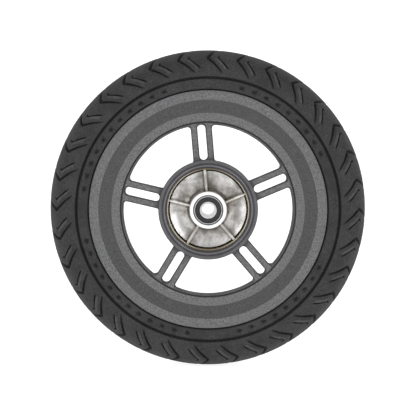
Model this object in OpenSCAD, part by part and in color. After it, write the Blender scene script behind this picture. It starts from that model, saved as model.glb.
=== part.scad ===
// Cast scooter wheel with a pneumatic tyre, a brake-drum hub and two sealed ball bearings.
// Each sub-part is drawn around local Z, the spin axis, with the ribbed side of the hub towards +Z.
// stand() then turns the wheel upright: the spin axis lies along Y and the ribbed side faces -Y.

/* [Tyre] */
// Outside diameter of the tyre
tyre_od = 250; // [246:1:254]
// Width of the tyre at its widest
tyre_w = 60; // [58:1:62]
// Radius of the crown across the tread
crown_r = 45; // [44:1:50]
// Radius of the shoulders beside the crown
shoulder_r = 16.8; // [16:0.1:17]
// Number of chevron grooves round the tread
tread_n = 32; // [16:1:36]
// Depth of the tread grooves
tread_depth = 1.6; // [1:0.1:2]

/* [Rim] */
// Radius of the rim flanges
flange_r = 93.3; // [92:0.1:94]
// Overall width of the rim
rim_w = 56; // [55:0.5:57]
// Radius of the bead seats
bead_r = 82; // [81.5:0.1:82.4]
// Radius of the drop well's floor
well_r = 72.5; // [72:0.1:74]
// Radius of the opening inside the rim, at its waist
hole_r = 66.3; // [65:0.1:66.5]
// Height of that waist, from the wheel's middle
waist_z = 17; // [16:0.5:18]

/* [Spokes] */
// Number of twin spokes
spoke_n = 5; // [3:1:6]
// Angle of the first twin spoke
spoke_angle = 94.8; // [0:0.1:120]
// Width of one bar of a twin spoke
bar_w = 5.15; // [4:0.05:6]
// Width of the slot between the two bars
slot_w = 6.25; // [5:0.05:7]
// Front face of the spokes, from the wheel's middle
spoke_front = 25.5; // [24.5:0.5:26]
// Depth of the spokes along the axle
spoke_depth = 14; // [12:1:16]
// Radius of the corners of the openings between the spokes
corner_r = 2.8; // [1:0.1:4]

/* [Hub] */
// Outside radius of the hub shell
hub_r = 38.8; // [38.5:0.1:39]
// Front face of the hub shell, from the wheel's middle
hub_front = 31; // [30:0.5:33]
// Back face of the hub shell, from the wheel's middle
hub_back = 30; // [29:0.5:32]
// Radius of the boss that holds the bearings
boss_r = 14.3; // [13.5:0.1:15]
// Front face of the boss, from the wheel's middle
boss_front = 36; // [35.5:0.1:37]
// Floor of the ribbed recess, from the wheel's middle
recess_floor = 18; // [16:0.5:20]
// Inside radius of the brake drum
drum_r = 32; // [31.5:0.1:32.5]
// Length of the brake drum
drum_len = 24; // [20:1:24]

/* [Bearings] */
// Bore of the bearings
axle_d = 10; // [10:1:10]
// Outside diameter of the bearings
bearing_d = 22; // [22:1:22]
// Width of each bearing
bearing_w = 6; // [6:1:6]
// Number of balls in each bearing
ball_n = 11; // [9:1:11]
// Diameter of the balls
ball_d = 3.175; // [3:0.025:3.2]

/* [Valve] */
// Radius of the circle the valve stands on
valve_r = 76.8; // [76.6:0.1:77]
// Angle of the valve round the wheel
valve_angle = 58.8; // [0:0.1:360]
// Diameter of the valve's thread
valve_d = 7.7; // [7.5:0.1:7.8]

/* [Hidden] */

$fn = 96;
clearance = 0.05;
cut = 1;
fillet_steps = 4;

tyre_r = tyre_od / 2;
tyre_half = tyre_w / 2;
rim_half = rim_w / 2;
bead_half = 24.2;
twin_w = slot_w + 2 * bar_w;
window_in_r = hub_r + 0.1;
barrel_front_r = hole_r + 2.4;
barrel_back_r = 70.6;
spoke_back = spoke_front - spoke_depth;
web = 6;
drum_face = recess_floor - web;
liner_wall = 2.5;
cavity_r = 31;
boss_back = 5;
chamfer = 0.3;

front_bearing_z = boss_front - 0.2 - bearing_w / 2;
rear_bearing_z = -boss_back + 0.2 + bearing_w / 2;
pitch_r = 8;
inner_ring_r = 6.55;
outer_ring_in_r = 9.1;
ball_gap = 0.03;
seal_r = 10.35;
seal_t = 0.8;

front_band_z = 27;
back_band_z = 25.5;
seat_z = back_band_z - 0.3;
shelf_z = 25.8;
stem_base_z = -8.5;
stem_end_z = -36;
core_end_z = stem_end_z + 0.6;
core_seat_z = -19;
spring_z0 = -26.4;
spring_z1 = -20.5;

function unit(v) = v / norm(v);

// An arc of short edges that rounds the corner p1, whose third number is its radius
function corner(p0, p1, p2) =
    let (
        at = [p1.x, p1.y],
        a = unit([p0.x, p0.y] - at),
        b = unit([p2.x, p2.y] - at),
        half = acos(max(-1, min(1, a * b))) / 2
    )
    p1.z == 0 || half > 89.9 ? [at] :
    let (
        centre = at + unit(a + b) * p1.z / sin(half),
        start = at + a * p1.z / tan(half) - centre,
        stop = at + b * p1.z / tan(half) - centre,
        sweep = 180 - 2 * half
    )
    [for (i = [0 : fillet_steps]) let (a = sweep * i / fillet_steps)
        centre + (sin(sweep - a) * start + sin(a) * stop) / sin(sweep)];

// A closed outline of [x, y, corner radius] points, with its corners rounded
function rounded(points) =
    let (n = len(points))
    [for (i = [0 : n - 1]) each corner(points[(i + n - 1) % n], points[i], points[(i + 1) % n])];

// A point of an arc, with its corner radius
function arc_point(at, r, a, round_r = 0) = [at.x + r * cos(a), at.y + r * sin(a), round_r];

// The same outline seen in a mirror across the wheel's middle, listed backwards
function mirrored(points) = [for (i = [len(points) - 1 : -1 : 0]) [points[i].x, -points[i].y, points[i].z]];

module ring_of(points) {
    rotate_extrude() polygon(rounded(points));
}

module stand() {
    rotate([90, 0, 0]) children();
}

module tube(r_out, r_in, z0, z1) {
    translate([0, 0, z0]) difference() {
        cylinder(r = r_out, h = z1 - z0);
        translate([0, 0, -cut]) cylinder(r = r_in, h = z1 - z0 + 2 * cut);
    }
}

module round_spokes(n, first = 0) {
    for (k = [0 : n - 1]) rotate([0, 0, first + 360 * k / n]) children();
}

module at_valve() {
    rotate([0, 0, valve_angle]) translate([valve_r, 0, 0]) children();
}

// ---- wheel casting ----

// One half of the rim's section, from the middle of the drop well round to the inner band
function rim_half_section(band_z) = [
    [well_r, 8.5, 2.5],
    [bead_r + 0.6, 14.2, 0.8],
    [bead_r, 16, 0.8],
    [bead_r + 0.8, bead_half, 1.5],
    [flange_r - 1.9, bead_half + 0.7, 2.2],
    [flange_r, rim_half - 1.4, 1.2],
    [flange_r - 0.2, rim_half, 1],
    [85.5, rim_half, 0.6],
    [75.5, band_z, 0.8]
];

// The barrel inside the rim is narrowest at its waist and opens towards both ends
barrel_section = [
    [barrel_front_r, front_band_z, 1],
    [hole_r + 0.6, waist_z, 0],
    [barrel_back_r, -back_band_z, 0.6]
];

module rim() {
    ring_of(concat(rim_half_section(front_band_z), barrel_section, mirrored(rim_half_section(back_band_z))));
}

// The thickened seat on the back of the rim that the valve's nut pulls against
module valve_pad() {
    intersection() {
        at_valve() translate([0, 0, -back_band_z - 0.3]) cylinder(r = 7.4, h = 9);
        translate([0, 0, -rim_half]) cylinder(r = bead_r - 2, h = rim_half);
    }
}

// The opening between two twin spokes, as a flat outline with round corners
module window_outline() {
    step = 360 / spoke_n;
    side = twin_w / 2;
    in_a = asin(side / window_in_r);
    out_a = asin(side / hole_r);
    in_r = window_in_r;
    out_r = hole_r;
    outline = concat(
        [arc_point([0, 0], in_r, in_a, corner_r), arc_point([0, 0], out_r, out_a, corner_r)],
        [for (i = [2 : 22]) arc_point([0, 0], out_r, out_a + (step - 2 * out_a) * i / 24)],
        [arc_point([0, 0], out_r, step - out_a, corner_r), arc_point([0, 0], in_r, step - in_a, corner_r)],
        [for (i = [1 : 9]) arc_point([0, 0], in_r, step - in_a - (step - 2 * in_a) * i / 10)]
    );
    polygon(rounded(outline));
}

module slot_outline() {
    first = window_in_r + 0.1 + slot_w / 2;
    last = hole_r - slot_w / 2;
    translate([first, -slot_w / 2]) square([last - first, slot_w]);
    translate([first, 0]) circle(d = slot_w);
    translate([last, 0]) circle(d = slot_w);
}

// In front of the waist the openings flare with the barrel, except at the ends of the spokes
module window_flare() {
    flare_from = waist_z - 2;
    flare_to = spoke_front + cut;
    slope = 0.21;
    keep = twin_w + 2 * corner_r + 1;
    difference() {
        rotate_extrude() polygon([
            [hole_r - 2, flare_from], [hole_r + slope * (flare_from - waist_z), flare_from],
            [hole_r + slope * (flare_to - waist_z), flare_to], [hole_r - 2, flare_to]
        ]);
        round_spokes(spoke_n, spoke_angle) translate([0, -keep / 2, 0]) cube([tyre_r, keep, rim_half]);
    }
}

module spokes() {
    difference() {
        tube(barrel_front_r + 1, hub_r - 2, spoke_back, spoke_front);
        window_flare();
        round_spokes(spoke_n, spoke_angle)
            translate([0, 0, spoke_back - cut]) linear_extrude(spoke_depth + 2 * cut) {
                window_outline();
                slot_outline();
            }
    }
}

// The hub shell, the web across it and the boss in its middle, before the bearings' seats are bored
hub_section = [
    [hub_r - 1.8, -hub_back, 1],
    [hub_r - 0.95, 0, 0],
    [hub_r - 0.35, spoke_front + 1, 0],
    [hub_r, hub_front, 2],
    [35.6, hub_front, 0.4],
    [35.2, hub_front - 0.7, 0.3],
    [34.8, hub_front, 0.4],
    [32.9, hub_front, 0.5],
    [32.4, shelf_z, 0],
    [31.4, shelf_z, 0.3],
    [30.9, recess_floor, 1.2],
    [boss_r + 0.6, recess_floor, 2],
    [boss_r, boss_front, 0.6],
    [9, boss_front, 0],
    [9, -boss_back, 0],
    [boss_r - 0.4, -boss_back, 0.6],
    [boss_r + 0.4, drum_face, 2],
    [cavity_r, drum_face, 3],
    [cavity_r, -hub_back + drum_len, 0],
    [drum_r + liner_wall, -hub_back + drum_len, 0],
    [drum_r + liner_wall, -hub_back, 0.4]
];

// A rib standing in the ribbed recess, from the boss to the wall
module front_rib() {
    rib_w = 2;
    translate([0, rib_w / 2, 0]) rotate([90, 0, 0]) linear_extrude(rib_w)
        polygon([[boss_r - 1, recess_floor - 1], [boss_r - 1, 31.5], [boss_r + 1, 31],
                 [30, shelf_z - 0.4], [32, shelf_z - 0.4], [32, recess_floor - 1]]);
}

// A rib standing on the back of the web, inside the brake drum
module back_rib() {
    rib_w = 3;
    translate([0, rib_w / 2, 0]) rotate([90, 0, 0]) linear_extrude(rib_w)
        polygon([[boss_r - 1, drum_face + 1], [boss_r - 1, -1], [boss_r + 2, -1],
                 [cavity_r + 1, 5], [cavity_r + 1, drum_face + 1]]);
}

// The seat bored for a bearing, with a chamfer round its mouth
module bearing_seat(z) {
    mouth_z = z + bearing_w / 2 - 0.2;
    translate([0, 0, z - bearing_w / 2]) cylinder(d = bearing_d, h = bearing_w + cut);
    translate([0, 0, mouth_z])
        cylinder(r1 = bearing_d / 2 - 0.1, r2 = bearing_d / 2 + 0.6 + cut, h = 0.7 + cut);
}

module wheel_casting() {
    color("dimgray") stand() difference() {
        union() {
            rim();
            valve_pad();
            spokes();
            ring_of(hub_section);
            round_spokes(spoke_n, spoke_angle) {
                front_rib();
                back_rib();
            }
        }
        bearing_seat(front_bearing_z);
        mirror([0, 0, 1]) bearing_seat(-rear_bearing_z);
        at_valve() {
            translate([0, 0, -rim_half - cut]) cylinder(d = valve_d + 0.3, h = rim_half + 2 * cut - 12.5);
            translate([0, 0, -rim_half - cut]) cylinder(r = 6, h = rim_half + cut - seat_z);
            translate([0, 0, -12.5]) cylinder(r = 6.2, h = 7);
        }
    }
}

module drum_liner() {
    color("silver") stand() tube(drum_r + liner_wall, drum_r, -hub_back, -hub_back + drum_len);
}

// ---- tyre ----

// One half of the tyre's section, from the inside of the crown round the bead to the tread's shoulder
tyre_outer_half = [
    [bead_r + 0.7, 15.2, 0.8],
    [bead_r + 0.05, 17, 0.6],
    [bead_r + 0.8, bead_half - 0.1, 1.6],
    [flange_r - 1.9, bead_half + 0.6, 0],
    [flange_r + 0.1, rim_half - 1.5, 0],
    [94, rim_half + 0.2, 0.4],
    [100.3, tyre_half - 0.8, 0.4],
    [102.3, tyre_half - 0.5, 0.3],
    [102.7, tyre_half - 1.9, 0.2],
    [103.8, tyre_half - 1.9, 0.2],
    [104.2, tyre_half, 0.5]
];

// The tread's outline from one sidewall over the crown to the other, or one that lies deeper by the inset.
// Each side is an arc round the shoulder which runs on into the crown's arc.
crown_at = [tyre_r - crown_r, 0];
shoulder_end = asin(21 / crown_r);
shoulder_at = crown_at + (crown_r - shoulder_r) * [cos(shoulder_end), sin(shoulder_end)];

function half_tread(inset) = concat(
    [for (i = [0 : 8]) arc_point(shoulder_at, shoulder_r - inset, 85 + (shoulder_end - 85) * i / 9)],
    [for (i = [0 : 6]) arc_point(crown_at, crown_r - inset, shoulder_end * (1 - i / 7))]
);
function tread_outline(inset) =
    concat(half_tread(inset), [[tyre_r - inset, 0, 0]], mirrored(half_tread(inset)));

tyre_inner = [
    [88, -17.5, 3], [97, -24, 6], [110, -23.5, 8], [116.3, -8, 8],
    [116.3, 8, 8], [110, 23.5, 8], [97, 24, 6], [88, 17.5, 3]
];

module tyre_section() {
    polygon(rounded(concat(tyre_outer_half, tread_outline(0), mirrored(tyre_outer_half), tyre_inner)));
}

// The flat outline of one chevron: an arm that climbs from the sidewall to the tip, and one that leans back.
// Its middle line runs through points given as [radius, angle].
module chevron() {
    half_w = 1.1;
    line = [for (p = [[105.4, -6.75], [118.3, 0], [tyre_r + 1, -3.6]]) p.x * [cos(p.y), sin(p.y)]];
    polygon([for (p = line) p + [0, half_w], for (i = [2 : -1 : 0]) line[i] - [0, half_w]]);
}

// The grooves: chevrons that go right across the tyre, without what lies deeper than the grooves' floor
module tread_grooves() {
    first = 0.3;
    in_r = 80;
    side_r = 104;
    out_z = tyre_half + 10;
    difference() {
        round_spokes(tread_n, first)
            translate([0, 0, -tyre_half - cut]) linear_extrude(tyre_w + 2 * cut) chevron();
        ring_of(concat(
            [[in_r, out_z, 0], [side_r, out_z, 0]],
            tread_outline(tread_depth),
            [[side_r, -out_z, 0], [in_r, -out_z, 0]]
        ));
    }
}

module tyre() {
    color([0.16, 0.16, 0.17]) stand() difference() {
        rotate_extrude() tyre_section();
        tread_grooves();
        for (side = [-1, 1]) bead_channel(side);
    }
}

bead_wire_r = 1.8;
bead_ring_r = 86.2;
bead_ring_z = 20.8;

module bead_channel(side) {
    translate([0, 0, side * bead_ring_z])
        rotate_extrude() translate([bead_ring_r, 0]) circle(r = bead_wire_r + 0.02);
}

module bead_wire(side) {
    color("goldenrod") stand() translate([0, 0, side * bead_ring_z])
        rotate_extrude() translate([bead_ring_r, 0]) circle(r = bead_wire_r);
}

// ---- bearings ----

module outer_ring(z) {
    half = bearing_w / 2;
    color("lightgray") stand() translate([0, 0, z]) rotate_extrude() difference() {
        polygon([
            [bearing_d / 2, -half + chamfer], [bearing_d / 2, half - chamfer],
            [bearing_d / 2 - chamfer, half], [seal_r, half],
            [seal_r, half - 0.2 - seal_t], [outer_ring_in_r, half - 0.2 - seal_t],
            [outer_ring_in_r, -half + 0.2 + seal_t], [seal_r, -half + 0.2 + seal_t],
            [seal_r, -half], [bearing_d / 2 - chamfer, -half]
        ]);
        translate([pitch_r, 0]) circle(r = ball_d / 2 + ball_gap);
    }
}

module inner_ring(z) {
    half = bearing_w / 2;
    bore = axle_d / 2;
    color("gainsboro") stand() translate([0, 0, z]) rotate_extrude() difference() {
        polygon([
            [bore, -half + chamfer], [bore + chamfer, -half], [inner_ring_r - 0.2, -half],
            [inner_ring_r, -half + 0.2], [inner_ring_r, half - 0.2], [inner_ring_r - 0.2, half],
            [bore + chamfer, half], [bore, half - chamfer]
        ]);
        translate([pitch_r, 0]) circle(r = ball_d / 2 + ball_gap);
    }
}

module balls(z) {
    color("whitesmoke") stand() translate([0, 0, z])
        round_spokes(ball_n) translate([pitch_r, 0, 0]) sphere(d = ball_d, $fn = 32);
}

module cage(z, facing) {
    cage_half_w = 0.65;
    color("wheat") stand() translate([0, 0, z]) mirror([0, 0, facing < 0 ? 1 : 0]) difference() {
        tube(pitch_r + cage_half_w, pitch_r - cage_half_w, -1.85, 0.9);
        round_spokes(ball_n) translate([pitch_r, 0, 0]) sphere(d = ball_d + 2 * ball_gap, $fn = 32);
    }
}

module seal(z, side) {
    out_z = bearing_w / 2 - 0.2;
    color("#333333") stand() translate([0, 0, z]) mirror([0, 0, side < 0 ? 1 : 0]) rotate_extrude() polygon([
        [inner_ring_r + clearance, out_z - 0.1], [inner_ring_r + clearance, out_z - seal_t],
        [seal_r - 0.02, out_z - seal_t], [seal_r - 0.02, out_z],
        [seal_r - 0.6, out_z], [seal_r - 0.8, out_z - 0.2],
        [inner_ring_r + 0.8, out_z - 0.2], [inner_ring_r + 0.6, out_z - 0.1]
    ]);
}

module bearing_spacer() {
    color("silver") stand()
        tube(7, axle_d / 2, rear_bearing_z + bearing_w / 2, front_bearing_z - bearing_w / 2);
}

// ---- valve ----

module valve_stem() {
    color("goldenrod") stand() at_valve() difference() {
        union() {
            translate([0, 0, stem_end_z + 0.4]) cylinder(d = valve_d, h = stem_base_z - stem_end_z - 0.4);
            translate([0, 0, stem_end_z]) cylinder(d1 = valve_d - 0.8, d2 = valve_d, h = 0.4);
            translate([0, 0, stem_base_z - 2]) cylinder(r = 5.8, h = 2);
        }
        translate([0, 0, stem_end_z - cut]) cylinder(r = 2.6, h = core_seat_z + 1.5 - stem_end_z + cut);
        translate([0, 0, stem_end_z]) cylinder(r = 1.6, h = stem_base_z - stem_end_z + cut);
    }
}

module valve_gasket() {
    color("black") stand() at_valve() tube(5.8, valve_d / 2, -12.5, stem_base_z - 2);
}

module valve_washer() {
    color("silver") stand() at_valve() tube(5.8, valve_d / 2 + clearance, -seat_z - 1, -seat_z);
}

module valve_nut() {
    nut_h = 3;
    color("silver") stand() at_valve() translate([0, 0, -seat_z - 1 - nut_h]) difference() {
        intersection() {
            cylinder(d = 11.5, h = nut_h, $fn = 6);
            cylinder(r1 = 5.1, r2 = 5.1 + nut_h, h = nut_h);
        }
        translate([0, 0, -cut]) cylinder(d = valve_d, h = nut_h + 2 * cut);
    }
}

module valve_core() {
    color("goldenrod") stand() at_valve() difference() {
        union() {
            translate([0, 0, core_end_z]) cylinder(r = 2.58, h = 7.4);
            translate([0, 0, core_end_z + 7.4]) cylinder(r = 1.9, h = core_seat_z - core_end_z - 7.4);
        }
        translate([0, 0, core_end_z - cut]) cylinder(r = 0.65, h = core_seat_z - core_end_z + 2 * cut);
        translate([0, 0, spring_z0 - 0.6]) cylinder(r = 1.35, h = spring_z1 - spring_z0 + 0.6);
    }
}

module valve_pin() {
    color("gold") stand() at_valve() {
        translate([0, 0, stem_end_z + 0.1]) cylinder(r = 0.5, h = core_seat_z - stem_end_z);
        translate([0, 0, spring_z0 - 0.5]) cylinder(r = 1.25, h = 0.5);
        translate([0, 0, core_seat_z + 0.02]) cylinder(r = 1.4, h = 0.8);
    }
}

// A coil spring round the pin, as rings of corners swept along a helix
module valve_spring() {
    turns = 5;
    steps = 16;
    sides = 6;
    wire = 0.14;
    coil = 0.95;
    z0 = spring_z0 + wire + 0.02;
    rise = spring_z1 - spring_z0 - 2 * wire - 0.04;
    n = turns * steps;
    points = [for (i = [0 : n], j = [0 : sides - 1])
        let (a = 360 * i / steps, b = 360 * j / sides, r = coil + wire * cos(b))
        [r * cos(a), r * sin(a), z0 + rise * i / n + wire * sin(b)]];
    faces = concat(
        [for (i = [0 : n - 1], j = [0 : sides - 1])
            let (k = (j + 1) % sides, p = i * sides, q = (i + 1) * sides) [p + j, q + j, q + k, p + k]],
        [[for (j = [0 : sides - 1]) j]],
        [[for (j = [sides - 1 : -1 : 0]) n * sides + j]]
    );
    color("silver") stand() at_valve() polyhedron(points, faces);
}

module valve_cap() {
    cap_end = stem_end_z - 1.5;
    color("#222222") stand() at_valve() difference() {
        union() {
            translate([0, 0, cap_end + 0.8]) cylinder(r = 4.8, h = -seat_z - 4.3 - cap_end - 0.8);
            translate([0, 0, cap_end]) cylinder(r1 = 4, r2 = 4.8, h = 0.8);
        }
        translate([0, 0, stem_end_z - 0.4]) cylinder(d = valve_d + 2 * clearance, h = 20);
    }
}

wheel_casting();
drum_liner();
tyre();
bead_wire(1);  // bead_wire_front
bead_wire(-1);  // bead_wire_rear
outer_ring(front_bearing_z);  // front_outer_ring
inner_ring(front_bearing_z);  // front_inner_ring
balls(front_bearing_z);  // front_balls
cage(front_bearing_z, 1);  // front_cage
seal(front_bearing_z, 1);  // front_seal_outboard
seal(front_bearing_z, -1);  // front_seal_inboard
outer_ring(rear_bearing_z);  // rear_outer_ring
inner_ring(rear_bearing_z);  // rear_inner_ring
balls(rear_bearing_z);  // rear_balls
cage(rear_bearing_z, -1);  // rear_cage
seal(rear_bearing_z, -1);  // rear_seal_outboard
seal(rear_bearing_z, 1);  // rear_seal_inboard
bearing_spacer();
valve_stem();
valve_gasket();
valve_washer();
valve_nut();
valve_core();
valve_pin();
valve_spring();
valve_cap();
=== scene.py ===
import math

import bmesh
import bpy
import numpy as np
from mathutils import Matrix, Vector, geometry


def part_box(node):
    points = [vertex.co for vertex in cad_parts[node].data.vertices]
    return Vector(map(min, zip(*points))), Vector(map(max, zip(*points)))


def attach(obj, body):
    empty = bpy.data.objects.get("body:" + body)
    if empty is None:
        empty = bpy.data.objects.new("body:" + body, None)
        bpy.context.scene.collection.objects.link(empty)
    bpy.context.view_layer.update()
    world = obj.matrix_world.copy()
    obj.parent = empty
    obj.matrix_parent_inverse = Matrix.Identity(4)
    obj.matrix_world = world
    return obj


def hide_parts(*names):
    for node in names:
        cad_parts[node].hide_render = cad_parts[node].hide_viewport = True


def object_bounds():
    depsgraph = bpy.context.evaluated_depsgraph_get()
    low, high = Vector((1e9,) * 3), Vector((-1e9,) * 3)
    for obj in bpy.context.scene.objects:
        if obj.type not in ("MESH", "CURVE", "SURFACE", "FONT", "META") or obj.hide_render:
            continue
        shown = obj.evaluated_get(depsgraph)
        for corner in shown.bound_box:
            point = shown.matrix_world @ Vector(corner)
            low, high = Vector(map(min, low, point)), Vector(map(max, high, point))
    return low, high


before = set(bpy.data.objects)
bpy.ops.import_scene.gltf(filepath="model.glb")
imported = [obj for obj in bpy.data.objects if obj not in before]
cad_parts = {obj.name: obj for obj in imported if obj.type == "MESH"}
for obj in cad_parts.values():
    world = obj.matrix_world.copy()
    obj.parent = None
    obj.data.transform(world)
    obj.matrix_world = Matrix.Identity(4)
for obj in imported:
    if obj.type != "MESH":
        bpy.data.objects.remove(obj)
cad_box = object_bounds()

# The wheel is drawn in millimetres round its own axis: r is the distance from the axis, h the
# height along it towards the ribbed side, and an angle runs anticlockwise seen from that side.
# to_row() turns that into the row's frame, in metres, where the axis is Y and h runs to -Y.
MM = 0.001
SPOKES = 5
SPOKE_ANGLE = math.radians(94.8)
SPOKE_STEP = 2 * math.pi / SPOKES


# ---------------------------------------------------------------- outlines and meshes

def to_row(r, h, angle):
    return np.stack([r * np.cos(angle), -h + 0 * angle, r * np.sin(angle)], axis=-1) * MM


def corner(before, at, after, radius, steps):
    """The short arc that rounds one corner of an outline."""
    a = np.array(before[:2]) - at[:2]
    b = np.array(after[:2]) - at[:2]
    a = a / np.linalg.norm(a)
    b = b / np.linalg.norm(b)
    half = math.acos(max(-1.0, min(1.0, float(a @ b)))) / 2
    if radius == 0 or half > math.radians(89.5):
        return [np.array(at[:2], float)]
    middle = a + b
    centre = np.array(at[:2]) + middle / np.linalg.norm(middle) * radius / math.sin(half)
    start = np.array(at[:2]) + a * radius / math.tan(half) - centre
    stop = np.array(at[:2]) + b * radius / math.tan(half) - centre
    sweep = math.pi - 2 * half
    out = []
    for i in range(steps + 1):
        k = i / steps
        between = math.sin(sweep * (1 - k)) * start + math.sin(sweep * k) * stop
        out.append(centre + between / math.sin(sweep))
    return out


def rounded(points, steps=5):
    """A closed outline of (x, y, corner radius[, label]) with round corners, and its edges' labels."""
    out, labels = [], []
    n = len(points)
    for i, p in enumerate(points):
        arc = corner(points[i - 1], p, points[(i + 1) % n], p[2], steps)
        out += arc
        labels += [p[3] if len(p) > 3 else 0] * len(arc)
    return np.array(out), labels


def mirrored(points):
    """The same half-section on the other side of the wheel's middle, in the order that continues it."""
    out = []
    for i in range(len(points) - 1, -1, -1):
        label = points[i - 1][3:] if i else points[0][3:]
        out.append((points[i][0], -points[i][1], points[i][2], *label))
    return out


def new_object(name, verts, faces, materials, face_material=None, sharp=32):
    mesh = bpy.data.meshes.new(name)
    mesh.from_pydata([tuple(v) for v in verts], [], [tuple(int(i) for i in f) for f in faces])
    for m in materials:
        mesh.materials.append(m)
    if face_material is not None:
        mesh.polygons.foreach_set("material_index", np.array(face_material, dtype=np.int32))
    bm = bmesh.new()
    bm.from_mesh(mesh)
    bmesh.ops.recalc_face_normals(bm, faces=bm.faces)
    bm.to_mesh(mesh)
    bm.free()
    mesh.shade_smooth()
    mesh.set_sharp_from_angle(angle=math.radians(sharp))
    obj = bpy.data.objects.new(name, mesh)
    bpy.context.scene.collection.objects.link(obj)
    return obj


def ring_faces(rows, columns):
    """Quads of a grid that closes on itself both ways."""
    i, j = np.meshgrid(np.arange(rows), np.arange(columns), indexing="ij")
    i2, j2 = (i + 1) % rows, (j + 1) % columns
    quad = [i * columns + j, i2 * columns + j, i2 * columns + j2, i * columns + j2]
    return np.stack(quad, axis=-1).reshape(-1, 4)


def revolve(points, columns, steps=5):
    """A closed section of (r, h, corner radius, label) turned about the axis."""
    section, labels = rounded(points, steps)
    angle = np.arange(columns) * 2 * math.pi / columns
    verts = to_row(section[:, None, 0], section[:, None, 1], angle[None, :]).reshape(-1, 3)
    return verts, ring_faces(len(section), columns), np.repeat(labels, columns)


class Pile:
    """Several closed meshes gathered into one object."""

    def __init__(self):
        self.verts, self.faces, self.labels, self.count = [], [], [], 0

    def add(self, verts, faces, labels):
        self.faces += [[int(i) + self.count for i in f] for f in faces]
        self.verts += [tuple(v) for v in verts]
        self.labels += [int(k) for k in labels]
        self.count += len(verts)

    def make(self, name, materials, sharp=32):
        return new_object(name, self.verts, self.faces, materials, self.labels, sharp)


# ---------------------------------------------------------------- materials

def srgb(*values):
    """The linear colour of three sRGB values from 0 to 255."""
    shares = [v / 255 for v in values]
    return tuple(v / 12.92 if v <= 0.04045 else ((v + 0.055) / 1.055) ** 2.4 for v in shares)


def times(shade, factor):
    return tuple(c * factor for c in shade)


class Shader:
    """A Principled material with short ways to add the nodes that give it its detail."""

    def __init__(self, name, colour, roughness, metallic=0.0, specular=0.5):
        self.material = bpy.data.materials.new(name)
        self.material.use_nodes = True
        self.nodes = self.material.node_tree.nodes
        self.links = self.material.node_tree.links
        self.bsdf = self.nodes["Principled BSDF"]
        self.bsdf.inputs["Base Color"].default_value = (*colour, 1)
        self.bsdf.inputs["Roughness"].default_value = roughness
        self.bsdf.inputs["Metallic"].default_value = metallic
        self.bsdf.inputs["Specular IOR Level"].default_value = specular
        self.material.diffuse_color = (*colour, 1)
        self.place = self.nodes.new("ShaderNodeTexCoord").outputs["Object"]
        self.normal = None

    def link(self, out, to):
        self.links.new(out, to)

    def noise(self, scale, detail=4.0, rough=0.6, place=None):
        n = self.nodes.new("ShaderNodeTexNoise")
        n.inputs["Scale"].default_value = scale
        n.inputs["Detail"].default_value = detail
        n.inputs["Roughness"].default_value = rough
        self.link(place or self.place, n.inputs["Vector"])
        return n.outputs["Fac"]

    def math(self, operation, a, b=0.0, clamp=False):
        n = self.nodes.new("ShaderNodeMath")
        n.operation = operation
        n.use_clamp = clamp
        for socket, value in zip(n.inputs, (a, b)):
            if isinstance(value, (int, float)):
                socket.default_value = value
            else:
                self.link(value, socket)
        return n.outputs[0]

    def spread(self, value, low, high, to_low=0.0, to_high=1.0):
        n = self.nodes.new("ShaderNodeMapRange")
        self.link(value, n.inputs["Value"])
        for key, number in (("From Min", low), ("From Max", high), ("To Min", to_low), ("To Max", to_high)):
            n.inputs[key].default_value = number
        return n.outputs["Result"]

    def mix(self, factor, a, b, kind="MIX"):
        n = self.nodes.new("ShaderNodeMix")
        n.data_type = "RGBA"
        n.blend_type = kind
        for socket, value in ((n.inputs["Factor"], factor), (n.inputs[6], a), (n.inputs[7], b)):
            if isinstance(value, (int, float)):
                socket.default_value = value
            elif isinstance(value, tuple):
                socket.default_value = (*value, 1)
            else:
                self.link(value, socket)
        return n.outputs[2]

    def radius(self):
        """Distance from the wheel's axis, in metres."""
        split = self.nodes.new("ShaderNodeSeparateXYZ")
        self.link(self.place, split.inputs[0])
        flat = self.nodes.new("ShaderNodeCombineXYZ")
        self.link(split.outputs[0], flat.inputs[0])
        self.link(split.outputs[2], flat.inputs[2])
        length = self.nodes.new("ShaderNodeVectorMath")
        length.operation = "LENGTH"
        self.link(flat.outputs[0], length.inputs[0])
        return length.outputs["Value"]

    def turned(self, pitch):
        """Fine rings round the axis, as a lathe leaves them."""
        wave = self.math("SINE", self.math("MULTIPLY", self.radius(), 2 * math.pi / pitch))
        return self.spread(wave, -1, 1)

    def corner_shade(self, distance, samples=6):
        """0 in tight corners, 1 in the open: an ambient occlusion mask, with which the materials paint
        shade into corners.
        """
        n = self.nodes.new("ShaderNodeAmbientOcclusion")
        n.inputs["Distance"].default_value = distance
        n.samples = samples
        return n.outputs["AO"]

    def colour(self, value):
        self.link(value, self.bsdf.inputs["Base Color"])

    def roughness(self, value):
        self.link(value, self.bsdf.inputs["Roughness"])

    def bump(self, value, depth, strength=1.0):
        n = self.nodes.new("ShaderNodeBump")
        n.inputs["Distance"].default_value = depth
        n.inputs["Strength"].default_value = strength
        self.link(value, n.inputs["Height"])
        if self.normal is not None:
            self.link(self.normal, n.inputs["Normal"])
        self.normal = n.outputs["Normal"]
        self.link(self.normal, self.bsdf.inputs["Normal"])


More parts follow.
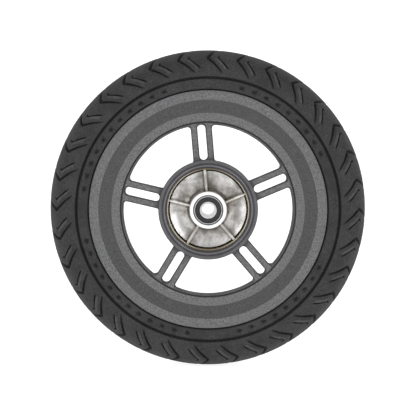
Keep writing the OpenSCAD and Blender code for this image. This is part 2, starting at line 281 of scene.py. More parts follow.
def powder_coat(name, shade, contrast=0.4, roughness=0.62, specular=0.3):
    """Sandy powder coat: a fine pebbled skin, with pale and dark grains, and painted shade darkening its
    corners.
    """
    s = Shader(name, shade, roughness, specular=specular)
    grain = s.noise(900, 3, 0.65)
    patch = s.noise(60, 3, 0.5)
    dark = times(shade, 1 - contrast)
    pale = times(shade, 1 + contrast)
    speckled = s.mix(s.spread(grain, 0.38, 0.62), dark, pale)
    coat = s.mix(s.spread(patch, 0.35, 0.65, 0.0, 0.3), speckled, shade)
    # painted shade: the coat is darkened in its corners by an ambient occlusion mask
    s.colour(s.mix(s.spread(s.corner_shade(0.006), 0.35, 0.95, 0.75, 0.0), coat, times(shade, 0.25)))
    s.roughness(s.spread(grain, 0.3, 0.7, roughness * 0.85, roughness * 1.15))
    s.bump(grain, 0.00012, 0.5)
    return s.material


def satin_paint(name, shade):
    """Smoother paint over cast metal, on the hub."""
    s = Shader(name, shade, 0.42, specular=0.45)
    grain = s.noise(1500, 3, 0.6)
    cloud = s.noise(70, 4, 0.6)
    s.colour(s.mix(s.spread(cloud, 0.3, 0.7), times(shade, 0.8), times(shade, 1.22)))
    s.roughness(s.spread(grain, 0.3, 0.7, 0.36, 0.52))
    s.bump(grain, 0.00006, 0.5)
    return s.material


def bare_casting(name, shade, stain_and_shade, low=0.3, high=0.52):
    """Bare die-cast aluminium: silver, blotched with dull stains and flow marks, darker towards the boss,
    with painted shade darkening its corners.
    """
    s = Shader(name, shade, 0.4, metallic=0.95)
    blotch = s.noise(75, 6, 0.68)
    fine = s.noise(900, 4, 0.7)
    marks = s.noise(260, 5, 0.75)
    # darker towards the boss: from 28.5 mm inwards to 16.5 mm from the axis the colour is pulled towards
    # the darker one
    inward = s.spread(s.radius(), 0.0165, 0.0285, 0.6, 0.0)
    colour = s.mix(s.math("ADD", s.spread(blotch, 0.42, 0.66, 0.0, 0.7), inward, True), shade, stain_and_shade)
    colour = s.mix(s.spread(marks, 0.52, 0.74, 0.0, 0.45), colour, times(stain_and_shade, 0.6))
    # painted shade: the metal is darkened in its corners by an ambient occlusion mask, towards the stain
    # colour
    s.colour(s.mix(s.spread(s.corner_shade(0.0022), 0.35, 0.95, 0.95, 0.0), colour, times(stain_and_shade, 0.12)))
    s.roughness(s.spread(blotch, 0.3, 0.7, low, high))
    s.bump(marks, 0.0002, 0.35)
    s.bump(fine, 0.00005, 0.4)
    return s.material


def machined(name, shade, roughness, pitch, depth=0.000012, metallic=1.0):
    """Turned metal with lathe rings, a little wear and painted shade in its corners."""
    s = Shader(name, shade, roughness, metallic=metallic)
    rings = s.turned(pitch)
    wear = s.noise(420, 5, 0.7)
    worn = s.mix(s.spread(wear, 0.4, 0.75, 0.0, 0.6), shade, times(shade, 0.72))
    # painted shade: the metal is darkened in its corners by an ambient occlusion mask
    s.colour(s.mix(s.spread(s.corner_shade(0.0012), 0.3, 0.9, 0.9, 0.0), worn, times(shade, 0.1)))
    s.roughness(s.spread(wear, 0.3, 0.7, roughness * 0.75, roughness * 1.35))
    s.bump(rings, depth, 0.6)
    s.bump(wear, 0.00001, 0.4)
    return s.material


def chromated_with_painted_glint(name, shade, dull):
    """A turned edge with a chromate tint and a painted glint: bright at the wheel's two sides, where the
    side lamps would catch it, and dull above and below.
    """
    s = Shader(name, shade, 0.42, metallic=0.3)
    split = s.nodes.new("ShaderNodeSeparateXYZ")
    s.link(s.place, split.inputs[0])
    glint_distance = s.math("ABSOLUTE", split.outputs[0])
    wear = s.noise(420, 5, 0.7)
    # painted glint: the colour runs from the dull one above and below the axis to the bright one at the two
    # sides
    painted_glint_colour = s.mix(s.spread(glint_distance, 0.006, 0.026), dull, shade)
    # wear mixes in the dull colour, which also serves as the painted shade above and below
    s.colour(s.mix(s.spread(wear, 0.4, 0.75, 0.0, 0.5), painted_glint_colour, dull))
    s.roughness(s.spread(wear, 0.3, 0.7, 0.32, 0.56))
    s.bump(s.turned(0.00035), 0.000012, 0.6)
    return s.material


def moulded(name, shade, roughness, grain_scale, depth, dust=1.25, specular=0.4):
    """Moulded rubber or plastic: matt and grained, paler where it is rubbed, with painted shade darkening
    its corners.
    """
    s = Shader(name, shade, roughness, specular=specular)
    grain = s.noise(grain_scale, 4, 0.65)
    cloud = s.noise(60, 4, 0.6)
    scuff = s.noise(230, 3, 0.6)
    colour = s.mix(s.spread(cloud, 0.35, 0.65), times(shade, 0.78), times(shade, dust))
    colour = s.mix(s.spread(scuff, 0.45, 0.7, 0.0, 0.5), colour, times(shade, 1.5))
    colour = s.mix(s.spread(grain, 0.4, 0.62, 0.0, 0.75), colour, times(shade, 0.55))
    # painted shade: the rubber is darkened in its corners by an ambient occlusion mask
    s.colour(s.mix(s.spread(s.corner_shade(0.0025), 0.3, 0.98, 0.8, 0.0), colour, times(shade, 0.3)))
    s.roughness(s.spread(grain, 0.3, 0.7, roughness * 0.88, min(1.0, roughness * 1.15)))
    s.bump(grain, depth, 0.5)
    return s.material


RIM_PAINT = powder_coat("rim_powder_coat", srgb(98, 98, 99))
BAND_PAINT = powder_coat("rim_band_paint", srgb(69, 69, 70), 0.32, 0.4, 0.3)
SPOKE_PAINT = powder_coat("spoke_powder_coat", srgb(97, 97, 98))
# painted shade: a darker copy of the powder coat, for the side walls of the spokes' openings
EDGE_PAINTED_SHADE = powder_coat("edge_powder_coat_painted_shade", srgb(60, 60, 62), 0.3)
# painted shade: a somewhat darker copy of the powder coat, for the walls of the openings along the rim
LIP_PAINTED_SHADE = powder_coat("lip_powder_coat_painted_shade", srgb(86, 86, 88), 0.3)
# painted shadow: a near-black copy of the powder coat, for the thin ring that draws the dark line at the
# band's inner edge
STEP_PAINTED_SHADOW = powder_coat("step_powder_coat_painted_shadow", srgb(36, 36, 37), 0.3)
HUB_PAINT = satin_paint("hub_satin_paint", srgb(81, 81, 83))
# painted shade: a darker copy of the hub paint, for the hub's grooves
HUB_GROOVE_PAINTED_SHADE = satin_paint("hub_groove_paint_painted_shade", srgb(68, 67, 71))
# painted highlight: a lighter copy of the hub paint, for the hub's rounded ridge
HUB_RIDGE_PAINTED_HIGHLIGHT = satin_paint("hub_ridge_paint_painted_highlight", srgb(99, 98, 102))
HUB_WALL_PAINT = satin_paint("hub_wall_paint", srgb(72, 69, 61))
RECESS_METAL = bare_casting("recess_bare_casting", srgb(246, 245, 244), srgb(136, 131, 124), 0.38, 0.6)
WALL_METAL = bare_casting("wall_chromated_casting", srgb(150, 140, 116), srgb(92, 84, 66), 0.35, 0.55)
RIB_METAL = bare_casting("rib_bare_casting", srgb(208, 205, 200), srgb(160, 155, 146), 0.32, 0.48)
GOLD_EDGE_PAINTED_GLINT = chromated_with_painted_glint("chromated_edge_painted_glint", srgb(252, 243, 222), srgb(152, 142, 120))
# painted shadow: a dark copy of the turned metal for the mouth of the bearing seat, drawing a dark line
# round the bearing
SEAT_MOUTH_PAINTED_SHADOW = machined("seat_mouth_painted_shadow", srgb(120, 119, 117), 0.4, 0.0003, metallic=0.6)
BOSS_METAL = machined("machined_boss", srgb(250, 250, 249), 0.38, 0.0003, metallic=0.25)
BEARING_METAL = machined("ground_bearing_steel", srgb(224, 224, 225), 0.3, 0.0002, 0.000006, metallic=0.6)
DRUM_METAL = machined("brake_track_steel", srgb(150, 148, 146), 0.34, 0.0004)
PLATED_METAL = machined("zinc_plated_steel", srgb(196, 198, 200), 0.3, 0.0004, 0.000006)
BRASS = machined("turned_brass", srgb(206, 170, 98), 0.3, 0.0004, 0.000008)
TYRE_RUBBER = moulded("tyre_rubber", srgb(55, 55, 56), 0.78, 900, 0.0001, specular=0.22)
# painted shade: a darker copy of the tyre rubber, for the floors of the tread's grooves
GROOVE_PAINTED_SHADE_RUBBER = moulded("tread_groove_rubber_painted_shade", srgb(47, 47, 48), 0.8, 900, 0.0001, specular=0.25)
# painted highlight: a lighter copy of the tyre rubber, for the raised bars of the tread
BAR_PAINTED_HIGHLIGHT_RUBBER = moulded("tread_bar_rubber_painted_highlight", srgb(64, 64, 65), 0.7, 900, 0.0001, specular=0.3)
# painted shade: a dark copy of the tyre rubber, for the floors of the small sunk marks
MARK_PAINTED_SHADE_RUBBER = moulded("bead_mark_rubber_painted_shade", srgb(38, 38, 39), 0.8, 900, 0.0001, specular=0.25)
SEAL_RUBBER = moulded("seal_rubber", srgb(46, 46, 48), 0.6, 2000, 0.00003, specular=0.3)
CAP_PLASTIC = moulded("cap_plastic", srgb(27, 27, 29), 0.5, 2200, 0.00003)
NYLON = moulded("cage_nylon", srgb(214, 200, 168), 0.45, 1500, 0.00002, 1.1)


# ---------------------------------------------------------------- wheel casting

FLANGE_R = 93.3
RIM_HALF = 28.0
FRONT_BAND_H = 27.0
BACK_BAND_H = 25.5
BARREL_FRONT_R = 68.8
BARREL_WAIST_R = 66.8
BARREL_BACK_R = 70.6
WAIST_H = 17.0
WINDOW_OUT_R = 66.3
HUB_R = 39.05
WINDOW_IN_R = 38.7
SPOKE_FRONT = 26.2
SPOKE_BACK = 11.5
BAR_W = 5.25
SLOT_W = 6.15
TWIN_HALF = SLOT_W / 2 + BAR_W
SIDE_DRAFT = 0.03
BACK_DRAFT = 0.09
FRONT_FLARE = 0.17
EDGE_ROUND = 0.9
HUB_FRONT = 31.0
DRUM_END = 30.0
LINER_R = 34.5
BOSS_FRONT = 36.0
SEAT_R = 11.0
SHOULDER_IN_R = 9.0

# The label of each surface in the casting's sections, which is its place in the list of paints
RIM, SPOKE, HUB, BARE, WALL, GOLD, BOSS, RIB = range(8)
# EDGE, LIP, STEP, GROOVE and MOUTH mark surfaces with painted shade, and RIDGE one with a painted highlight
EDGE, BAND, GROOVE, RIDGE, LIP, STEP, COLLAR, MOUTH = range(8, 16)
CASTING_PAINTS = [
    RIM_PAINT, SPOKE_PAINT, HUB_PAINT, RECESS_METAL, WALL_METAL, GOLD_EDGE_PAINTED_GLINT, BOSS_METAL, RIB_METAL,
    EDGE_PAINTED_SHADE, BAND_PAINT, HUB_GROOVE_PAINTED_SHADE, HUB_RIDGE_PAINTED_HIGHLIGHT, LIP_PAINTED_SHADE, STEP_PAINTED_SHADOW, HUB_WALL_PAINT,
    SEAT_MOUTH_PAINTED_SHADOW,
]


def rim_half_section(band_h):
    return [
        (72.5, 8.5, 2.5), (82.6, 14.2, 0.8), (82.0, 16.0, 0.8), (82.8, 24.2, 1.5),
        (91.4, 24.9, 2.2), (FLANGE_R, RIM_HALF - 1.3, 1.2), (FLANGE_R - 0.3, RIM_HALF, 0.6),
        (85.6, RIM_HALF, 0.12, BAND), (75.5, band_h - 0.4, 0.12),
    ]


# the step at the band's inner edge is painted as a dark shadow line, and the lip below it in painted shade
barrel_section = [
    (BARREL_FRONT_R, FRONT_BAND_H, 0.2, STEP), (BARREL_FRONT_R - 0.2, FRONT_BAND_H - 0.5, 0.1, STEP),
    (BARREL_FRONT_R - 1.25, FRONT_BAND_H - 0.55, 0.15, LIP), (BARREL_WAIST_R, WAIST_H, 0.3, LIP),
    (BARREL_BACK_R, -BACK_BAND_H, 0.8),
]


def arc_points(radius, start, stop, count):
    return [(radius * math.cos(a), radius * math.sin(a), 0) for a in np.linspace(start, stop, count)]


def polar(radius, side):
    """The point of that radius which lies at that distance from the spoke's centre line."""
    return math.sqrt(radius ** 2 - side ** 2), side


def window_outline():
    """The opening between two twin spokes, anticlockwise, with the first spoke along +X."""
    gap_out = math.asin(TWIN_HALF / WINDOW_OUT_R)
    gap_in = math.asin(TWIN_HALF / WINDOW_IN_R)
    outer = arc_points(WINDOW_OUT_R, gap_out, SPOKE_STEP - gap_out, 25)
    inner = arc_points(WINDOW_IN_R, SPOKE_STEP - gap_in, gap_in, 13)
    points = [(*outer[0][:2], 2.8)] + outer[3:-3] + [(*outer[-1][:2], 2.8)]
    points += [(*inner[0][:2], 2.4)] + inner[3:-3] + [(*inner[-1][:2], 2.4)]
    return rounded(points, 8)[0]


def slot_outline():
    """The slot between the two bars of a spoke, along +X."""
    half = SLOT_W / 2
    first = WINDOW_IN_R + 0.4 + half
    last = WINDOW_OUT_R - half
    turn = np.linspace(-math.pi / 2, math.pi / 2, 13)
    out = [(last + half * math.cos(a), half * math.sin(a)) for a in turn]
    out += [(first - half * math.cos(a), -half * math.sin(a)) for a in turn]
    return np.array(out)


def outward(outline):
    """Unit normals of a closed anticlockwise outline, pointing out of it."""
    ahead = np.roll(outline, -1, axis=0) - outline
    behind = outline - np.roll(outline, 1, axis=0)
    ahead = ahead / np.linalg.norm(ahead, axis=1, keepdims=True)
    behind = behind / np.linalg.norm(behind, axis=1, keepdims=True)
    tangent = ahead + behind
    tangent = tangent / np.linalg.norm(tangent, axis=1, keepdims=True)
    return np.stack([tangent[:, 1], -tangent[:, 0]], axis=1)


def turned_by(outline, angle):
    c, s = math.cos(angle), math.sin(angle)
    return outline @ np.array([[c, s], [-s, c]])


def wall_levels():
    """(height, how far the rounded edge widens the opening there), from the spokes' front to their back."""
    levels = []
    for i in range(6):
        a = math.pi / 2 * i / 5
        levels.append((EDGE_ROUND * (1 - math.cos(a)), EDGE_ROUND * (1 - math.sin(a))))
    front = [(SPOKE_FRONT - drop, w) for drop, w in levels]
    back = [(SPOKE_BACK + drop, w) for drop, w in reversed(levels)]
    return front + [(21.0, 0.0), (WAIST_H, 0.0)] + back


def along_rim(outline):
    """1 where the opening's outline follows the rim, 0 where it follows a spoke or the hub."""
    radial = outline / np.linalg.norm(outline, axis=1, keepdims=True)
    return np.clip((outward(outline) * radial).sum(axis=1, keepdims=True), 0, 1) ** 2


def drafted(outline, h, widened):
    """The opening's outline at a height. Its walls lean back, but along the rim they open from a waist."""
    facing = along_rim(outline)
    side = SIDE_DRAFT * (SPOKE_FRONT - h)
    flared = max(FRONT_FLARE * (h - WAIST_H), BACK_DRAFT * (WAIST_H - h))
    return outline + outward(outline) * (widened + side + (flared - side) * facing)


def flat_rows(outline, h):
    return np.stack([outline[:, 0], np.full(len(outline), -h), outline[:, 1]], axis=1) * MM


def spider(pile):
    """The five twin spokes: one plate whose openings have drafted walls and rounded edges."""
    openings = []
    for k in range(SPOKES):
        turn = SPOKE_ANGLE + k * SPOKE_STEP
        openings += [turned_by(window_outline(), turn), turned_by(slot_outline(), turn)]
    levels = wall_levels()
    for outline in openings:
        rows = [flat_rows(drafted(outline, h, widened), h) for h, widened in levels]
        verts = np.concatenate(rows)
        n = len(outline)
        faces = [[i * n + j, i * n + (j + 1) % n, (i + 1) * n + (j + 1) % n, (i + 1) * n + j]
                 for i in range(len(levels) - 1) for j in range(n)]
        # the walls of the openings carry painted shade: darker paint along the rim, darker still beside the
        # spokes
        wall = np.where(along_rim(outline)[:, 0] > 0.5, LIP, EDGE)
        pile.add(verts, faces, [wall[i % n] for i in range(len(faces))])
    for h, widened in (levels[0], levels[-1]):
        loops = [np.array(arc_points(BARREL_WAIST_R + 4.0, 0, 2 * math.pi, 181))[:-1, :2]]
        loops.append(np.array(arc_points(HUB_R - 2.0, 0, 2 * math.pi, 91))[:-1, :2])
        loops += [drafted(outline, h, widened) for outline in openings]
        triangles = geometry.tessellate_polygon([[Vector((x, y, 0)) for x, y in loop] for loop in loops])
        pile.add(flat_rows(np.concatenate(loops), h), triangles, [SPOKE] * len(triangles))


# The hub's section of (r, h, corner radius, label): up its outside, over its front edge with two grooves,
# down the recess, over the boss, through the bearings' seats and back round the brake drum
# the hub's grooves are painted darker as painted shade, and its ridge lighter as a painted highlight
hub_outside = [
    (HUB_R - 1.8, -DRUM_END, 1.2, HUB), (HUB_R - 0.9, 0, 0, HUB), (HUB_R - 0.35, SPOKE_FRONT + 1, 0, HUB),
    (HUB_R, HUB_FRONT, 1.3, HUB), (36.3, HUB_FRONT, 0.3, GROOVE), (35.8, 30.1, 0.2, GROOVE),
    (35.2, 30.1, 0.2, GROOVE), (34.8, 30.9, 0.4, RIDGE), (33.6, 30.9, 0.4, GROOVE),
]
recess = [
    (32.8, 29.6, 0.2, COLLAR), (31.95, 25.95, 0.1, GOLD), (31.3, 26.15, 0.1, WALL),
    (30.9, 17.2, 0.35, WALL), (30.4, 17.2, 0.3, BARE),
] + [(r, 17.3 + 0.03 * (r - 22.5) ** 2, 0, BARE) for r in np.linspace(30.0, 16.6, 12)]
# the mouth of the bearing seat is painted dark as a painted shadow line
boss_outside = [
    (16.1, 19.6, 0.5, BARE), (15.3, 19.8, 1.0, BARE), (14.5, BOSS_FRONT - 1, 0.3, BOSS),
    (14.0, BOSS_FRONT, 0.3, BOSS), (SEAT_R + 0.75, BOSS_FRONT, 0.1, MOUTH),
    (SEAT_R + 0.05, BOSS_FRONT - 1, 0, BOSS),
]
seats = [
    (SEAT_R, 29.8, 0, BOSS), (SHOULDER_IN_R, 29.8, 0.2, BOSS), (SHOULDER_IN_R, 1.2, 0.2, BOSS),
    (SEAT_R, 1.2, 0, BOSS), (SEAT_R, -4.7, 0, BOSS), (SEAT_R + 0.3, -5.0, 0, BOSS),
]
drum_side = [
    (13.9, -5.0, 0.5, BARE), (14.7, 11.5, 1.8, BARE), (29.5, 11.5, 3, BARE), (31.0, -5.2, 0.8, BARE),
    (LINER_R, -6.0, 0, BARE), (LINER_R, -DRUM_END + 0.4, 0, BOSS), (LINER_R + 0.4, -DRUM_END, 0, BOSS),
    (36.6, -DRUM_END, 0.3, HUB),
]
hub_section = hub_outside + recess + boss_outside + seats + drum_side


def rib(pile, angle, stations, root_h, half_width, label):
    """A rib along a radius, with a (r, top height) for each station. Its sides flare into the floor."""
    rows = []
    side = 1 if stations[0][1] > root_h else -1
    for r, top in stations:
        section = []
        depth = abs(top - root_h)
        heights = [0.0, 0.22, 0.8, max(1.2, depth * 0.6), depth - 0.45, depth - 0.12, depth]
        for spread, height in zip((1.4, 0.75, 0.42, 0.12, 0.0, -0.12, -0.45), heights):
            section.append((half_width + spread, min(height, depth)))
        full = section + [(-x, y) for x, y in reversed(section)]
        rows.append([(r, x, root_h + side * y) for x, y in full])
    n = len(rows[0])
    c, s = math.cos(angle), math.sin(angle)
    verts = [((r * c - x * s) * MM, -h * MM, (r * s + x * c) * MM) for row in rows for r, x, h in row]
    faces = [[i * n + j, i * n + j + 1, (i + 1) * n + j + 1, (i + 1) * n + j]
             for i in range(len(rows) - 1) for j in range(n - 1)]
    faces += [list(range(n)), [(len(rows) - 1) * n + j for j in range(n - 1, -1, -1)]]
    faces += [[i * n, (i + 1) * n, (i + 1) * n + n - 1, i * n + n - 1] for i in range(len(rows) - 1)]
    pile.add(verts, faces, [label] * len(faces))


# A rib's top edge from the boss outwards, as (r, h)
FRONT_RIB = ((13.6, 31.5), (16, 30.6), (20, 28.9), (25, 27.0), (29, 26.0), (32.2, 25.75))
BACK_RIB = ((13.2, -1.2), (16, -1.0), (20, 1.2), (25, 3.8), (29, 5.2), (31.6, 5.4))


def wheel_casting():
    pile = Pile()
    front_half = rim_half_section(FRONT_BAND_H)
    back_half = mirrored(rim_half_section(BACK_BAND_H))
    pile.add(*revolve(front_half + barrel_section + back_half, 288))
    spider(pile)
    pile.add(*revolve(hub_section, 192))
    for k in range(SPOKES):
        angle = SPOKE_ANGLE + k * SPOKE_STEP
        rib(pile, angle, FRONT_RIB, 16.6, 0.95, RIB)
        rib(pile, angle, BACK_RIB, 12.0, 1.4, BARE)
    obj = pile.make("wheel_casting_detail", CASTING_PAINTS)
    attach(obj, "wheel")
    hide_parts("wheel_casting")


# ---------------------------------------------------------------- tyre

TYRE_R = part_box("tyre")[1][0] / MM
TYRE_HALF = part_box("tyre")[1][1] / MM
CROWN_R = 45.0
SHOULDER_R = 16.8
SHOULDER_H = 21.0
TREADS = 32
TREAD_STEP = 2 * math.pi / TREADS
MARKS = 60
COLUMNS = 480
COLUMN_STEP = 2 * math.pi / COLUMNS
TREAD_COLUMNS = COLUMNS // TREADS
MARK_COLUMNS = COLUMNS // MARKS
# stretches of the bead band without marks, as (from, to, start of the turn they are counted in) in degrees
MARK_GAPS = ((75.5, 106.0, 0), (174.0, 192.0, 0), (263.0, 281.5, 0), (-25.0, 22.5, -180))
TIP_ANGLE = math.radians(180.3)
TREAD_IN_R = 105.4
TREAD_TIP_R = 118.3
LEAN_COLUMNS = 9
TIP_BLEND = 1.2
MAIN_DEPTH = 2.3
SIPE_DEPTH = 1.7
BAR_HEIGHT = 0.8
# a face that lies deeper than this is painted darker, as painted shade on the floor of a groove or a mark
GROOVE_DEPTH = 0.7
MARK_DEPTH = 1.3
MARK_R = 97.8
MARK_HALF = 1.7


def tread_curve(step):
    """The tread's section from its edge on the ribbed side over the crown, as (r, h) rows a step apart."""
    lean = math.asin(SHOULDER_H / CROWN_R)
    crown_centre = TYRE_R - CROWN_R
    shoulder = np.array([crown_centre + CROWN_R * math.cos(lean), SHOULDER_H])
    centre = shoulder - SHOULDER_R * np.array([math.cos(lean), math.sin(lean)])
    side_on = math.radians(86)
    fine = [np.array([104.0, TYRE_HALF - 0.05])]
    for a in np.linspace(side_on, lean, 80):
        fine.append(centre + SHOULDER_R * np.array([math.cos(a), math.sin(a)]))
    for a in np.linspace(lean, 0, 80)[1:]:
        fine.append(np.array([crown_centre + CROWN_R * math.cos(a), CROWN_R * math.sin(a)]))
    fine = np.array(fine)
    fine[:, 1] = np.minimum(fine[:, 1], TYRE_HALF)
    fine = np.concatenate([fine, (fine * [1, -1])[-2::-1]])
    along = np.concatenate([[0], np.cumsum(np.linalg.norm(np.diff(fine, axis=0), axis=1))])
    count = int(round(along[-1] / step / 2)) * 2
    s = np.linspace(0, along[-1], count + 1)
    return s, np.stack([np.interp(s, along, fine[:, 0]), np.interp(s, along, fine[:, 1])], axis=1)


def section_normals(rows):
    ahead = np.roll(rows, -1, axis=0) - np.roll(rows, 1, axis=0)
    ahead = ahead / np.linalg.norm(ahead, axis=1, keepdims=True)
    return np.stack([-ahead[:, 1], ahead[:, 0]], axis=1)


def smooth_step(x, low, high):
    t = np.clip((x - low) / (high - low), 0, 1)
    return t * t * (3 - 2 * t)


def tread_rows():
    """For each row of the tread: its place in the section, and each column's angle and depth."""
    s, curve = tread_curve(0.92)
    half = len(s) // 2
    middle = s[half]
    s_in = float(np.interp(TREAD_IN_R, curve[:half, 0], s[:half]))
    s_tip = float(np.interp(TREAD_TIP_R, curve[:half, 0], s[:half]))
    lean_in, lean_mid = -LEAN_COLUMNS * COLUMN_STEP, math.radians(-4.8)
    inner_slope = -lean_in / (s_tip - s_in)
    outer_slope = lean_mid / (middle - s_tip)
    angles, depths = [], []
    for i, here in enumerate(s):
        t = min(here, s[-1] - here)
        r = curve[i, 0]
        # how far the chevron has climbed here: steadily up to its tip, then back, with a blended tip
        if t > s_in + 2:
            past = (t - s_tip + math.hypot(t - s_tip, TIP_BLEND)) / 2
            shear = lean_in + inner_slope * (t - s_in) + (outer_slope - inner_slope) * past
        else:
            shear = min(0.0, lean_in + inner_slope * max(0.0, t - s_in))
        slope = inner_slope if t < s_tip else outer_slope
        stretch = math.hypot(1, slope * r)
        # the main groove, deepest on the crown and shallow where the two sides meet
        cut = MAIN_DEPTH * smooth_step(t, s_in - 0.5, s_in + 4)
        cut *= 1 - 0.9 * smooth_step(t, middle - 15, middle - 7)
        cut *= 0.6 + 0.4 * smooth_step(t, s_in + 3, s_tip)
        wide = (0.75 + 0.6 * smooth_step(t, s_in, s_tip + 4)) * stretch / r
        floor = wide * 0.45
        edge = wide + 0.6 * stretch / r
        # the narrow sipe nested inside each chevron
        sipe_at = math.radians(7.4)
        sipe_wide = 0.75 * stretch / r
        sipe = SIPE_DEPTH * smooth_step(t, s_tip - 10.5, s_tip - 8.5)
        sipe *= 1 - smooth_step(t, s_tip + 2.5, s_tip + 4.0)
        # the raised bar between the sipe and the next groove
        bar = -BAR_HEIGHT * smooth_step(t, s_tip - 10.5, s_tip - 9.5)
        bar *= 1 - smooth_step(t, s_tip - 1.5, s_tip - 0.5)
        cols = [-edge, -wide, -floor, floor, wide, edge, math.radians(3.2), math.radians(5.2),
                sipe_at - sipe_wide, sipe_at, sipe_at + sipe_wide, math.radians(8.6), math.radians(9.3),
                math.radians(9.9), TREAD_STEP - edge - 0.006]
        brink = 0.25 * min(cut, 0.8)
        deep = [0, brink, cut, cut, brink, 0, 0, 0, 0, sipe, bar, bar, bar, 0, 0]
        settle = smooth_step(t, 0.0, s_in - 0.4)
        even = np.arange(TREAD_COLUMNS) * COLUMN_STEP - COLUMN_STEP
        cols = even + (np.array(cols) - even) * settle
        angles.append(np.concatenate([k * TREAD_STEP + cols for k in range(TREADS)]) + shear)
        depths.append(np.tile(deep, TREADS))
    return curve, np.array(angles) + TIP_ANGLE, np.array(depths)


def mark_depth(r, column):
    """How deep the small arrow-shaped marks round the bead band are, at a radius and column."""
    across = abs(r - MARK_R) / MARK_HALF
    middle = column // MARK_COLUMNS * MARK_COLUMNS + 4.5
    angle = math.degrees((middle - 1 - LEAN_COLUMNS) * COLUMN_STEP + TIP_ANGLE) % 360
    if across >= 1 or any(low < (angle - first) % 360 + first < high for low, high, first in MARK_GAPS):
        return 0.0
    place = column % MARK_COLUMNS
    return MARK_DEPTH if place in (4, 5) or (place == 6 and across < 0.45) else 0.0


def tyre():
    curve, angles, depths = tread_rows()
    even = np.arange(COLUMNS) * COLUMN_STEP - COLUMN_STEP + TIP_ANGLE - LEAN_COLUMNS * COLUMN_STEP
    # each as (r, h): the bead's seat and toe, the bead band and the channel outside it, and the inside
    bead = [
        (82.1, 17.0), (82.15, 20.0), (82.6, 22.6), (83.6, 23.9), (85.5, 24.15), (89.5, 24.5), (91.3, 24.75),
        (92.3, 25.5),
    ]
    band = [
        (93.5, 26.0), (94.0, 27.6), (94.4, 28.6), (95.2, 28.95), (95.7, 29.0), (95.9, 29.0), (96.8, 29.05),
        (97.8, 29.1), (98.8, 29.15), (99.7, 29.2), (99.9, 29.2), (100.6, 29.25), (101.4, 29.2),
        (101.9, 28.9),
    ]
    channel = [(102.3, 28.0), (102.6, 27.3), (103.2, 27.1), (103.7, 27.3), (103.85, 28.2), (103.95, 29.2)]
    inside = [(82.6, 15.4), (84.0, 15.2), (86.5, 16.2), (90, 18.8), (95, 22.2), (101, 24.0), (108, 23.6),
              (113.5, 18), (115.8, 9), (116.3, 0)]
    front = np.array(bead + band + channel)
    far_side = [1, -1]
    inner = np.concatenate([np.array(inside) * far_side, np.array(inside[:-1])[::-1]])
    rows = np.concatenate([front, curve, (front * far_side)[::-1], inner])
    plain = np.tile(even, (len(front) + len(inner), 1))
    angle = np.concatenate([plain[:len(front)], angles, plain])
    pits = np.array([[mark_depth(r, j) for j in range(COLUMNS)] for r, h in front])
    depth = np.concatenate([pits, depths, pits[::-1], np.zeros((len(inner), COLUMNS))])
    normal = section_normals(rows)
    r = rows[:, 0, None] - normal[:, 0, None] * depth
    h = rows[:, 1, None] - normal[:, 1, None] * depth
    verts = to_row(r, h, angle).reshape(-1, 3)
    faces = ring_faces(len(rows), COLUMNS)
    face_depth = depth.reshape(-1)[faces].mean(axis=1)
    row = np.arange(len(faces)) // COLUMNS
    on_tread = (row >= len(front)) & (row < len(front) + len(curve))
    sunk = face_depth > GROOVE_DEPTH
    raised = face_depth < -BAR_HEIGHT / 2
    # painted shade on the floors of grooves and marks, and a painted highlight on the raised bars
    paints = [TYRE_RUBBER, GROOVE_PAINTED_SHADE_RUBBER, BAR_PAINTED_HIGHLIGHT_RUBBER, MARK_PAINTED_SHADE_RUBBER]
    labels = np.select([sunk & on_tread, raised, sunk], [1, 2, 3])
    obj = new_object("tyre_detail", verts, faces, paints, labels, sharp=40)
    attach(obj, "wheel")
    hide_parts("tyre")


# ---------------------------------------------------------------- valve

VALVE_R = 76.8
VALVE_ANGLE = math.radians(58.8)
STEM_R = 3.85
STEM_END = -36.0
THREAD_PITCH = 0.8
THREAD_DEPTH = 0.35
CAP_R = 4.8
CAP_FLUTES = 24
FLUTE_DEPTH = 0.4
# radius of the point in the middle of a turned end
POINT_R = 0.02


def turned_at_valve(node, body, section, material, flutes=0):
    """A closed section of (r, h, flute depth) turned about the valve's axis, which replaces a node."""
    columns = 8 * flutes or 48
    angle = np.arange(columns) * 2 * math.pi / columns
    section = np.array(section)
    r = section[:, 0, None] - section[:, 2, None] * (0.5 - 0.5 * np.cos(flutes * angle)) ** 2
    x = VALVE_R * math.cos(VALVE_ANGLE) + r * np.cos(angle)
    z = VALVE_R * math.sin(VALVE_ANGLE) + r * np.sin(angle)
    y = np.broadcast_to(-section[:, 1, None], x.shape)
    verts = np.stack([x, y, z], axis=-1).reshape(-1, 3) * MM
    obj = new_object(f"{node}_detail", verts, ring_faces(len(section), columns), [material])
    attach(obj, body)
    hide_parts(node)


def valve():
    crest, root = STEM_R, STEM_R - THREAD_DEPTH
    thread = []
    for i in range(27):
        h = STEM_END + 0.5 + i * THREAD_PITCH
        thread += [(root, h, 0), (crest, h + 0.3, 0), (crest, h + 0.4, 0), (root, h + 0.7, 0)]
    turned_at_valve("valve_stem", "wheel", [
        (2.6, STEM_END, 0), (root - 0.15, STEM_END, 0), *thread, (STEM_R, -13.5, 0), (STEM_R, -10.5, 0),
        (5.8, -10.5, 0), (5.8, -8.5, 0), (1.6, -8.5, 0), (1.6, -17.5, 0), (2.6, -17.5, 0),
    ], BRASS)
    turned_at_valve("valve_cap", "valve_cap", [
        (POINT_R, -37.5, 0), (3.4, -37.5, 0), (3.9, -37.35, 0), (4.3, -37.0, 0),
        (CAP_R, -36.4, 0.05), (CAP_R, -36.2, FLUTE_DEPTH), (CAP_R, -30.9, FLUTE_DEPTH), (CAP_R, -30.6, 0),
        (CAP_R, -29.6, 0), (CAP_R - 0.1, -29.5, 0), (4.1, -29.5, 0), (4.1, -36.4, 0), (POINT_R, -36.4, 0),
    ], CAP_PLASTIC, CAP_FLUTES)


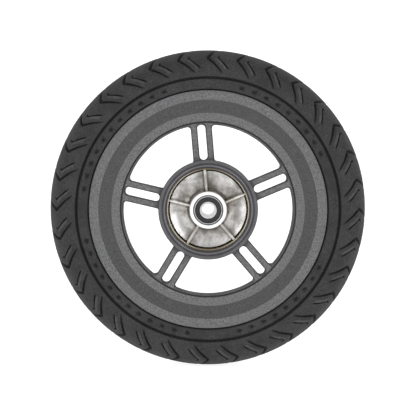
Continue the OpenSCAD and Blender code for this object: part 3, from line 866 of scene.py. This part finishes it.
# ---------------------------------------------------------------- CAD pieces that keep their shape

def finish_node(name, material):
    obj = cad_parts[name]
    for i in range(len(obj.material_slots)):
        obj.material_slots[i].material = material
    if not obj.material_slots:
        obj.data.materials.append(material)


def cad_finishes():
    finish_node("drum_liner", DRUM_METAL)
    for side in ("front", "rear"):
        finish_node(f"bead_wire_{side}", BRASS)
        finish_node(f"{side}_outer_ring", BEARING_METAL)
        finish_node(f"{side}_inner_ring", BEARING_METAL)
        finish_node(f"{side}_balls", BEARING_METAL)
        finish_node(f"{side}_cage", NYLON)
        for face in ("outboard", "inboard"):
            finish_node(f"{side}_seal_{face}", SEAL_RUBBER)
    finish_node("bearing_spacer", PLATED_METAL)
    for name in ("valve_core", "valve_pin"):
        finish_node(name, BRASS)
    for name in ("valve_washer", "valve_nut", "valve_spring"):
        finish_node(name, PLATED_METAL)
    finish_node("valve_gasket", SEAL_RUBBER)


# ---------------------------------------------------------------- stage, light and camera

def plain_surface(name, shade, glow, front_glow):
    """A pale surface with a glow of its own, which fades towards the front."""
    s = Shader(name, shade, 0.9, specular=0.1)
    split = s.nodes.new("ShaderNodeSeparateXYZ")
    s.link(s.place, split.inputs[0])
    s.bsdf.inputs["Emission Color"].default_value = (1, 1, 1, 1)
    fading = s.spread(split.outputs[1], -1.0, -0.4, front_glow, glow)
    s.link(fading, s.bsdf.inputs["Emission Strength"])
    return s.material


def backdrop():
    """A pale floor that sweeps up behind the wheel, with a wall at each side."""
    floor_z = cad_box[0][2] - 0.0002
    bend, back, top, half, front = 0.6, 1.6, 3.5, 4.0, -3.0
    path = [(front, floor_z), (back - bend, floor_z)]
    for i in range(1, 17):
        a = math.pi / 2 * i / 16
        path.append((back - bend + bend * math.sin(a), floor_z + bend * (1 - math.cos(a))))
    path.append((back, floor_z + top))
    verts = [(x, y, z) for y, z in path for x in (-half, half)]
    faces = [(2 * i, 2 * i + 1, 2 * i + 3, 2 * i + 2) for i in range(len(path) - 1)]
    for x in (-half, half):
        first = len(verts)
        verts += [(x, y, floor_z) for y in (front, back)] + [(x, y, floor_z + top) for y in (back, front)]
        faces.append(tuple(range(first, first + 4)))
    surface = plain_surface("pale_floor", (0.4, 0.4, 0.4), 0.9, 0.3)
    obj = new_object("pale_floor", verts, faces, [surface])


def softbox(name, place, size, power, aim=(0, 0, 0)):
    light = bpy.data.lights.new(name, "AREA")
    light.shape = "RECTANGLE"
    light.size, light.size_y = size
    light.energy = power
    obj = bpy.data.objects.new(name, light)
    obj.location = place
    obj.rotation_euler = (Vector(aim) - Vector(place)).to_track_quat("-Z", "Y").to_euler()
    bpy.context.scene.collection.objects.link(obj)


def lights():
    world = bpy.data.worlds.new("soft_room")
    bpy.context.scene.world = world
    world.use_nodes = True
    world.node_tree.nodes["Background"].inputs["Color"].default_value = (1, 1, 1, 1)
    world.node_tree.nodes["Background"].inputs["Strength"].default_value = 0.16
    softbox("left_softbox", (-1.15, -1.75, 0.3), (0.8, 1.1), 13)
    softbox("right_softbox", (1.15, -1.75, 0.3), (0.8, 1.1), 13)
    softbox("top_softbox", (0, -1.1, 1.7), (1.8, 0.9), 17)


# the tyre's share of the picture's width
TYRE_SHARE = 0.7548


def camera():
    azimuth, elevation, distance = math.radians(-0.5), math.radians(3.05), 1.4
    data = bpy.data.cameras.new("view")
    data.sensor_width = 36
    data.lens = data.sensor_width * distance / (2 * TYRE_R * MM / TYRE_SHARE)
    data.shift_x = 0.0004
    data.shift_y = -0.0005
    data.clip_end = 50
    obj = bpy.data.objects.new("view", data)
    back = Vector((math.sin(azimuth) * math.cos(elevation), -math.cos(azimuth) * math.cos(elevation),
                   math.sin(elevation)))
    obj.location = back * distance
    obj.rotation_euler = (-back).to_track_quat("-Z", "Y").to_euler()
    bpy.context.scene.collection.objects.link(obj)
    bpy.context.scene.camera = obj


camera()
wheel_casting()
tyre()
valve()
cad_finishes()
backdrop()
lights()
bpy.context.scene.view_settings.view_transform = "Standard"
